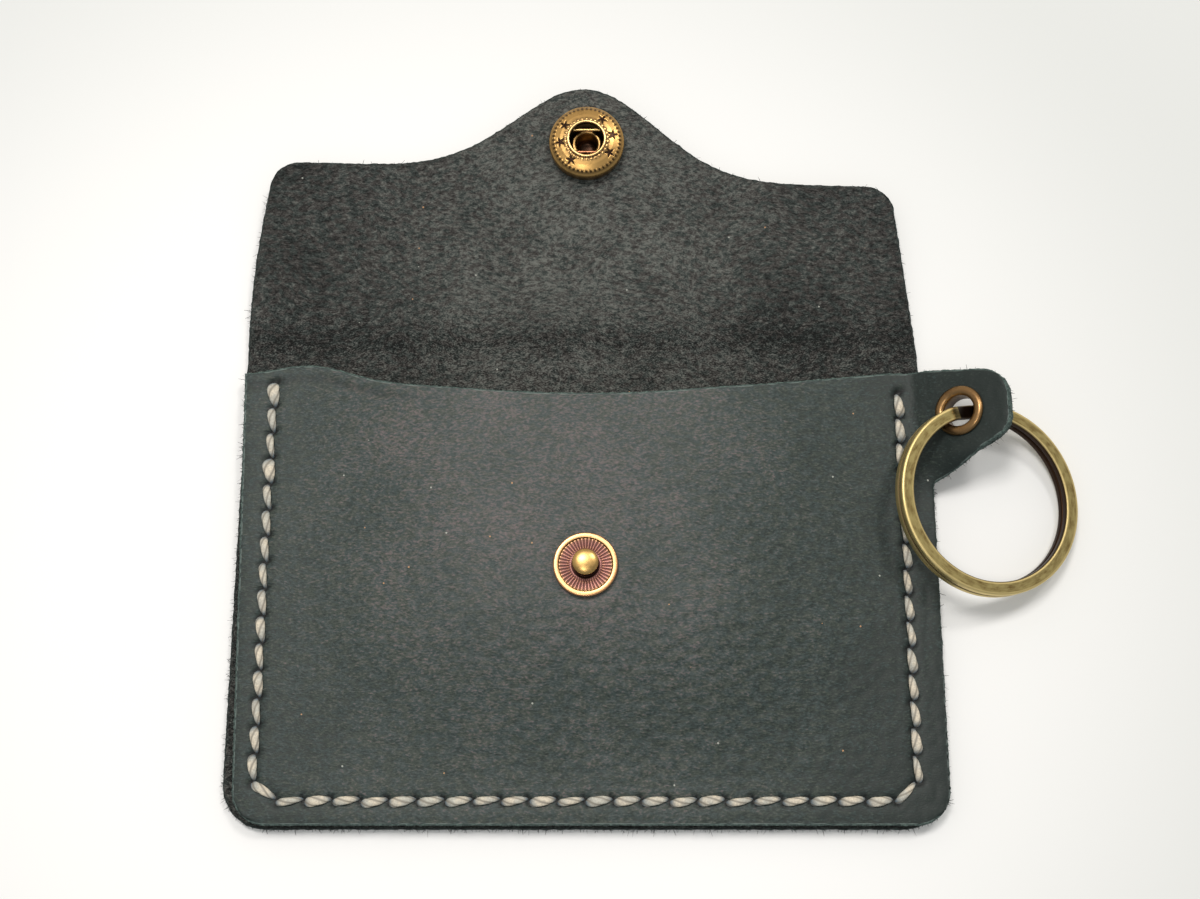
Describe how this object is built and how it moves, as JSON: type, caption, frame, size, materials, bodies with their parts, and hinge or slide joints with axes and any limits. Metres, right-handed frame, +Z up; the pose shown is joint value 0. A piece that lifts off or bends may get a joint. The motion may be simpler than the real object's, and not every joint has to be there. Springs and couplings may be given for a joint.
{
  "type": "keychain card wallet",
  "caption": "Leather card wallet with a sewn pocket, a folding flap closed by a snap, and a side tab whose eyelet holds a split key ring.",
  "frame": {"origin": "middle of the back panel's outer face, on the wallet's centre line, half way from the fold to the bottom edge", "axes": "+X to the side with the key ring, +Y from the pocket's bottom to the flap's tip, +Z up out of the pocket's front"},
  "size_m": [0.1255, 0.115, 0.012],
  "materials": {
    "leather_grain": "matt waxed grain side, blue-black green",
    "leather_flesh": "napped flesh side, near black",
    "thread": "waxed grey thread",
    "brass": "antique brass plate, worn bright on the edges",
    "copper": "antique copper plate",
    "spring_wire": "drawn spring wire"
  },
  "bodies": {
    "wallet": {"back_panel": "leather_flesh", "front_panel": "leather_grain", "thread_left_end": "thread", "thread_right_end": "thread", "snap_stud": "copper", "snap_post": "brass", "eyelet": "copper", "eyelet_washer": "copper"},
    "flap": {"flap": "leather_flesh", "snap_socket": "brass", "snap_spring": "spring_wire", "snap_cap": "brass"},
    "ring": {"key_ring": "brass"}
  },
  "joints": [
    {"name": "flap_fold", "type": "hinge", "parent": "wallet", "child": "flap", "pos_m": [0, 0.0355, 0.0065], "axis": [1, 0, 0], "range_deg": [0, 176.79], "deforming": ["snap_spring"]},
    {"name": "ring_swing", "type": "hinge", "parent": "wallet", "child": "ring", "pos_m": [0.05588, 0.0248, 0.00688], "axis": [-0.5878, 0, 0.809], "range_deg": [-5, 180]}
  ]
}
